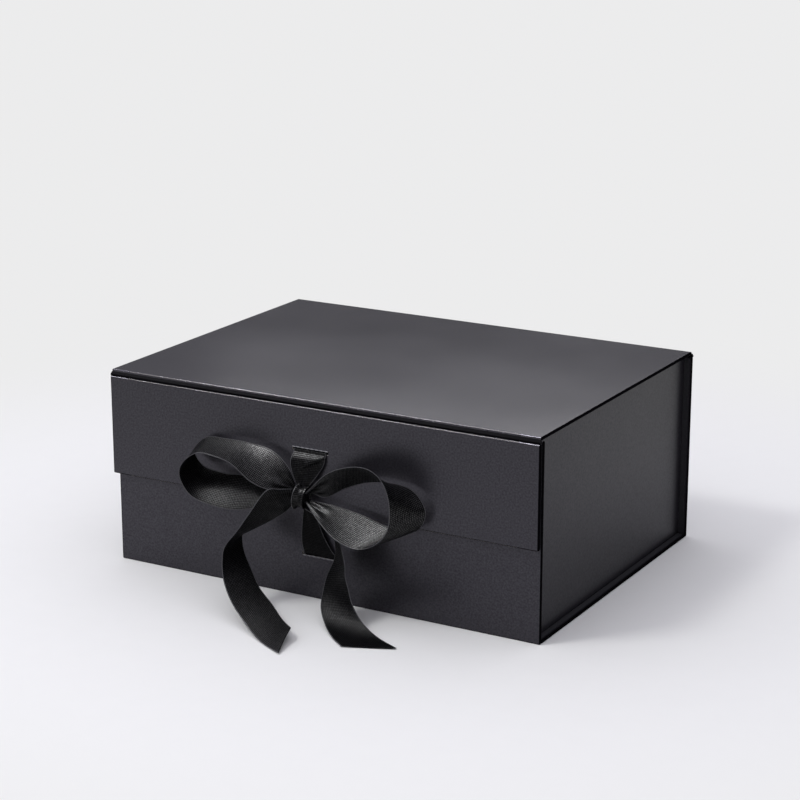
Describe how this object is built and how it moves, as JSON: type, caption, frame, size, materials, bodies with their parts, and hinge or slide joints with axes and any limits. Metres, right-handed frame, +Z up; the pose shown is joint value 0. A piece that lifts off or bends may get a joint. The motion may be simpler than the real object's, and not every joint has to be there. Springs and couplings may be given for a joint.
{
  "type": "gift box",
  "caption": "Rigid rectangular gift box with a hinged lid, a hanging front flap with hidden magnets and a satin ribbon tied in a bow across the front.",
  "frame": {"origin": "middle of the case's length and depth, on the surface that it stands on", "axes": "+X along the front to the viewer's right, +Y from the front to the spine, +Z up"},
  "size_m": [0.333, 0.3387, 0.139],
  "materials": {
    "outer_paper": "satin",
    "liner_paper": "matte",
    "greyboard": "matte",
    "tab_card": "matte",
    "tape": "satin",
    "magnet": "satin",
    "ribbon": "satin"
  },
  "bodies": {
    "tray": {"base_board": "greyboard", "base_wrap": "outer_paper", "base_liner": "liner_paper", "front_board": "greyboard", "front_wrap": "outer_paper", "front_liner": "liner_paper", "spine_board": "greyboard", "spine_wrap": "outer_paper", "spine_liner": "liner_paper", "left_wall_board": "greyboard", "left_wall_wrap": "outer_paper", "left_wall_liner": "liner_paper", "right_wall_board": "greyboard", "right_wall_wrap": "outer_paper", "right_wall_liner": "liner_paper", "left_front_tab": "tab_card", "left_back_tab": "tab_card", "right_front_tab": "tab_card", "right_back_tab": "tab_card", "corner_tapes": "tape", "front_magnets": "magnet", "lid_fold": "outer_paper", "lower_ribbon": "ribbon"},
    "lid": {"lid_board": "greyboard", "lid_wrap": "outer_paper", "lid_liner": "liner_paper", "flap_fold": "outer_paper"},
    "flap": {"flap_board": "greyboard", "flap_wrap": "outer_paper", "flap_liner": "liner_paper", "flap_magnets": "magnet", "upper_ribbon": "ribbon", "bow_knot": "ribbon", "bow_left_loop": "ribbon", "bow_right_loop": "ribbon", "bow_left_tail": "ribbon", "bow_right_tail": "ribbon"}
  },
  "joints": [
    {"name": "lid_hinge", "type": "hinge", "parent": "tray", "child": "lid", "pos_m": [0, 0.121, 0.13595], "axis": [-1, 0, 0], "range_deg": [0, 180]},
    {"name": "flap_hinge", "type": "hinge", "parent": "lid", "child": "flap", "pos_m": [-0.002, -0.1223, 0.1355], "axis": [-1, 0, 0], "range_deg": [0, 90]}
  ]
}
